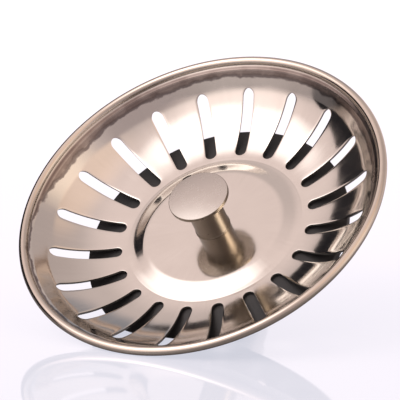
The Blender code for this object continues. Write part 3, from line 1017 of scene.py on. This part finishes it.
for name, side, start_x, start_angle in (("left", -1, -spring_end, 0), ("right", 1, 0, half_turn)):
    bm = bmesh.new()
    wire = bmesh.ops.create_circle(bm, segments=WIRE_SIDES, radius=SPRING_WIRE / 2)["verts"]
    bmesh.ops.translate(bm, verts=wire, vec=(start_x, SPRING_RADIUS, 0))
    bmesh.ops.rotate(bm, verts=wire, matrix=Matrix.Rotation(start_angle, 3, "X"))
    bmesh.ops.spin(
        bm, geom=bm.verts[:] + bm.edges[:], axis=(1, 0, 0), dvec=(spring_end / WIRE_STEPS, 0, 0),
        angle=half_turn, steps=WIRE_STEPS,
    )
    bmesh.ops.holes_fill(bm, edges=[edge for edge in bm.edges if edge.is_boundary], sides=0)
    bmesh.ops.recalc_face_normals(bm, faces=bm.faces)
    bmesh.ops.translate(bm, verts=bm.verts, vec=(0, 0, BALL_HEIGHT))
    half_coil = to_object(bm, f"spring_{name}_half", turned_steel)
    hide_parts("detent_spring")
    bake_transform(half_coil)
print(f"spring: {2 * spring_end * 1000:.2f} mm long, {SPRING_TURNS} turns")

# %% [markdown]
# ## The table top
# The plug doesn't stand upright on its post. It lies tipped over, on its rim and on the edge of the
# post. So the floor is a plane that touches both: the rolled rim at one point and the nose of the post.
# With the bead's middle circle and the nose's edge known, the tilt follows from one equation.

# %% Find the floor
BEAD_CIRCLE = RIM_RADIUS - BEAD_RADIUS
BEAD_HEIGHT = max(z for r, z, heading in sheet_path) - BEAD_RADIUS
LEAN_DIRECTION = Vector((-0.640, -0.768, 0)).normalized()

span = BEAD_CIRCLE - NOSE_RADIUS
tilt = math.acos(BEAD_RADIUS / math.hypot(BEAD_HEIGHT, span)) - math.atan2(span, BEAD_HEIGHT)
floor_up = Vector((0, 0, math.cos(tilt))) - LEAN_DIRECTION * math.sin(tilt)
floor_touch = LEAN_DIRECTION * NOSE_RADIUS
print(f"floor: tilted {math.degrees(tilt):.1f} degrees from upright")

# %% [markdown]
# ## The camera
# The view follows the photograph's angle: a long lens, about half a metre away, looking down into the
# bowl. The plug stays where its solids are, and the camera and the floor are tilted instead.

# %% Set the camera
CAMERA_PLACE = (0.00922202, -0.35437279, 0.3772104)
CAMERA_TURN = (42.6334, 18.3541, -17.3921)
CAMERA_LENS = 216.936
CAMERA_SENSOR = 36
NEAREST = 0.01
FARTHEST = 10

camera = bpy.data.objects.new("Camera", bpy.data.cameras.new("Camera"))
bpy.context.scene.collection.objects.link(camera)
camera.location = CAMERA_PLACE
camera.rotation_euler = [math.radians(angle) for angle in CAMERA_TURN]
camera.data.sensor_width = CAMERA_SENSOR
camera.data.lens = CAMERA_LENS
camera.data.clip_start = NEAREST
camera.data.clip_end = FARTHEST
bpy.context.scene.camera = camera
bpy.context.view_layer.update()

camera_back = camera.matrix_world.to_3x3().col[2]
floor_front = (camera_back - floor_up * camera_back.dot(floor_up)).normalized()
floor_right = floor_up.cross(floor_front)
print(f"camera: {math.degrees(math.asin(camera_back.dot(floor_up))):.1f} degrees above the floor")

# %% [markdown]
# ## Light
# A mirror has no colour of its own: it shows the room. So lighting polished steel means giving it
# something to reflect. Each light is placed by its direction, in degrees from the camera's side and
# above the floor.

# %% Directions in the room
def room_direction(azimuth, elevation):
    """A direction from its degrees to the right of the camera's side and above the floor."""
    a, e = math.radians(azimuth), math.radians(elevation)
    level = floor_front * math.cos(a) + floor_right * math.sin(a)
    return level * math.cos(e) + floor_up * math.sin(e)


# %% [markdown]
# ### The room
# Walls and windows could be modelled, but the steel shows little more than their directions. So the room
# is a plain warm grey, painted by direction: soft patches are added to it, each full in its middle and
# fading out over some degrees. The big one is a window above and to the left. The camera sees plain
# white instead, and matt surfaces get a neutral light.

# %% Paint the room
ROOM = (0.80, 0.68, 0.66)
MATT_LIGHT = (0.6, 0.6, 0.6, 1)
WHITE = (1, 1, 1, 1)
PATCHES = [
    # azimuth, elevation, full within, gone beyond, light added
    (-46, 46, 11, 24, (1.1, 1.1, 1.1)),
    (-70, 46, 11, 24, (1.1, 1.1, 1.1)),
    (-62, 46, 25, 52, (0.33, 0.26, 0.25)),
    (-45, 21, 6, 34, (0.50, 0.46, 0.44)),
    (42, 50, 15, 34, (0.36, 0.23, 0.13)),
    (66, 22, 8, 26, (0.36, 0.32, 0.24)),
    (105, 52, 12, 38, (-0.16, -0.14, -0.14)),
    (12, 5, 8, 30, (-0.25, -0.22, -0.20)),
    (178, 40, 8, 24, (-0.45, -0.33, -0.27)),
]

world = bpy.data.worlds.new("room")
bpy.context.scene.world = world
world.use_nodes = True
tree = world.node_tree
view = tree.nodes.new("ShaderNodeTexCoord").outputs["Generated"]
light = ROOM
for azimuth, elevation, full, gone, added in PATCHES:
    aim = calculate(tree, "DOT_PRODUCT", view, room_direction(azimuth, elevation), vector=True)
    fade = ramp(tree, aim, math.cos(math.radians(gone)), math.cos(math.radians(full)))
    light = calculate(tree, "MULTIPLY_ADD", fade, added, light, vector=True)

rays = tree.nodes.new("ShaderNodeLightPath")
for ray, colour in (
    ("Is Diffuse Ray", MATT_LIGHT),
    ("Is Camera Ray", WHITE),
    ("Is Transmission Ray", WHITE),
):
    light = mixed(tree, rays.outputs[ray], light, colour, "RGBA")
tree.links.new(light, tree.nodes["Background"].inputs["Color"])
bpy.context.scene.view_settings.view_transform = "Standard"
print(f"room: {len(PATCHES)} soft patches")

# %% [markdown]
# ### The lamp
# The painted window gives the reflections, and a lamp in the same place gives the soft shadow on the
# floor. The steel doesn't reflect it, and the camera doesn't see it. One helper makes such a lamp, and
# another places it in a direction, facing the plug.

# %% Place the lamp
LAMP_SIZE = (0.50, 0.40)
LAMP_ENERGY = 1.2
LAMP_COLOUR = (1.0, 0.98, 0.95)
LAMP_AZIMUTH = -62
LAMP_ELEVATION = 43
LAMP_DISTANCE = 0.6


def area_lamp(name, size, energy, colour):
    lamp = bpy.data.objects.new(name, bpy.data.lights.new(name, "AREA"))
    bpy.context.scene.collection.objects.link(lamp)
    lamp.data.shape = "RECTANGLE"
    lamp.data.size, lamp.data.size_y = size
    lamp.data.energy = energy
    lamp.data.color = colour
    lamp.visible_camera = False
    return lamp


def face_plug(obj, azimuth, elevation, distance):
    direction = room_direction(azimuth, elevation)
    target = Vector((0, 0, PAD_LEVEL))
    side = floor_up.cross(direction).normalized()
    up = direction.cross(side)
    turn = Matrix((side, up, direction)).transposed()
    obj.matrix_world = Matrix.Translation(target + direction * distance) @ turn.to_4x4()


window_lamp = area_lamp("Window", LAMP_SIZE, LAMP_ENERGY, LAMP_COLOUR)
window_lamp.visible_glossy = False
face_plug(window_lamp, LAMP_AZIMUTH, LAMP_ELEVATION, LAMP_DISTANCE)
print("light: window lamp placed")

# %% [markdown]
# ### The dark card
# A dark card behind and low on the left gives the right side of the bowl its dark patch, as a
# photographer's black flag does. Its outline is written in directions seen from the plug, as the patches
# of the room are, and its slanting side makes the patch end in a slanting line. Only reflections show
# it: the camera doesn't, and it takes no light from matt surfaces.

# %% Place the dark card
CARD_OUTLINE = [(-88, -8), (-88, 15), (-125, 43), (-165, 50), (-165, -8)]
CARD_FACING = (-130, 18)
CARD_DISTANCE = 0.35
CARD_PAINT = (0.035, 0.035, 0.045, 1)

bm = bmesh.new()
facing = room_direction(*CARD_FACING)
for azimuth, elevation in CARD_OUTLINE:
    direction = room_direction(azimuth, elevation)
    bm.verts.new(direction * (CARD_DISTANCE / direction.dot(facing)))
bmesh.ops.contextual_create(bm, geom=bm.verts[:])
dark_card = to_object(bm, "dark_card", bpy.data.materials.new("card_black"))
card_material = dark_card.data.materials[0]
card_material.use_nodes = True
card_shader = card_material.node_tree.nodes["Principled BSDF"]
card_shader.inputs["Base Color"].default_value = CARD_PAINT
card_shader.inputs["Roughness"].default_value = 1
dark_card.visible_camera = False
dark_card.visible_diffuse = False
dark_card.visible_shadow = False
dark_card.location = (0, 0, PAD_LEVEL)
dark_card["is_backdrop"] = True

# %% [markdown]
# ### A strip lamp for the knob
# The neck has one warm upright streak. A narrow lamp gives it, and light linking keeps that lamp off the
# bowl. The neck faces the pad, so it would show the lamp by way of the pad's mirror. Tracing that takes
# many samples, so a second lamp stands where the pad's mirror shows the first one, below the pad, and
# only the knob can shade it.

# %% Place the strip lamps
STRIP_AZIMUTH = 36
STRIP_ELEVATION = 38
STRIP_DISTANCE = 0.5
STRIP_SIZE = (0.18, 0.30)
STRIP_COLOUR = (1.0, 0.86, 0.70)
STRIP_ENERGY = 1.7
MIRRORED_ENERGY = 6.0

strip_above = area_lamp("strip_above", STRIP_SIZE, STRIP_ENERGY, STRIP_COLOUR)
face_plug(strip_above, STRIP_AZIMUTH, STRIP_ELEVATION, STRIP_DISTANCE)

strip_in_the_pad = area_lamp("strip_in_the_pad", STRIP_SIZE, MIRRORED_ENERGY, STRIP_COLOUR)
mirrored = room_direction(STRIP_AZIMUTH, STRIP_ELEVATION)
mirrored.z = -mirrored.z
turn = mirrored.to_track_quat("Z", "Y").to_matrix().to_4x4()
placed = turn @ Matrix.Translation((0, 0, STRIP_DISTANCE))
strip_in_the_pad.matrix_world = Matrix.Translation((0, 0, PAD_LEVEL)) @ placed

knob_only = bpy.data.collections.new("knob_only")
knob_only.objects.link(knob)
for strip in (strip_above, strip_in_the_pad):
    strip.light_linking.receiver_collection = knob_only
strip_in_the_pad.light_linking.blocker_collection = knob_only
print("light: strip lamps placed")

# %% [markdown]
# ### The floor
# A glossy white top. It takes a soft shadow and a faint reflection of the plug, and it is seen from
# above only, so that the plug can also be looked at from below. Part of its brightness is its own, for
# the camera, and a little of it for reflections, which keeps it white.

# %% Lay the floor
FLOOR_SIZE = 3
FLOOR_PAINT = (0.20, 0.18, 0.18, 1)
FLOOR_ROUGHNESS = 0.05
FLOOR_GLOW = (0.61, 0.62, 0.70, 1)
GLOW_SHARES = [("Is Camera Ray", 1.0), ("Is Transmission Ray", 1.0), ("Is Glossy Ray", 0.07)]


def paint_floor(mat):
    mat.use_nodes = True
    tree = mat.node_tree
    shader = tree.nodes["Principled BSDF"]
    shader.inputs["Base Color"].default_value = FLOOR_PAINT
    shader.inputs["Roughness"].default_value = FLOOR_ROUGHNESS
    shader.inputs["Emission Color"].default_value = FLOOR_GLOW
    rays = tree.nodes.new("ShaderNodeLightPath")
    glow = 0
    for ray, share in GLOW_SHARES:
        glow = calculate(tree, "MULTIPLY_ADD", rays.outputs[ray], share, glow)
    tree.links.new(glow, shader.inputs["Emission Strength"])
    below = tree.nodes.new("ShaderNodeBsdfTransparent")
    facing = tree.nodes.new("ShaderNodeNewGeometry")
    mix = tree.nodes.new("ShaderNodeMixShader")
    tree.links.new(facing.outputs["Backfacing"], mix.inputs[0])
    tree.links.new(shader.outputs[0], mix.inputs[1])
    tree.links.new(below.outputs[0], mix.inputs[2])
    tree.links.new(mix.outputs[0], tree.nodes["Material Output"].inputs["Surface"])


bm = bmesh.new()
bmesh.ops.create_grid(bm, x_segments=1, y_segments=1, size=FLOOR_SIZE)
floor = to_object(bm, "floor", bpy.data.materials.new("white_top"))
paint_floor(floor.data.materials[0])
turn = Matrix((floor_right, floor_up.cross(floor_right), floor_up)).transposed()
floor.matrix_world = Matrix.Translation(floor_touch) @ turn.to_4x4()
floor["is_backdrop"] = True

# %% [markdown]
# ## The sizes
# The dressed plug is meant to stay inside the box of its solids, so both boxes are printed for
# comparison.

# %% Print the sizes
boxes = {"solids": solid_box, "dressed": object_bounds()}
sizes = {name: [list(corner) for corner in box] for name, box in boxes.items()}
for name, (low, high) in sizes.items():
    print(name, [round((b - a) * 1000, 2) for a, b in zip(low, high)], "mm")
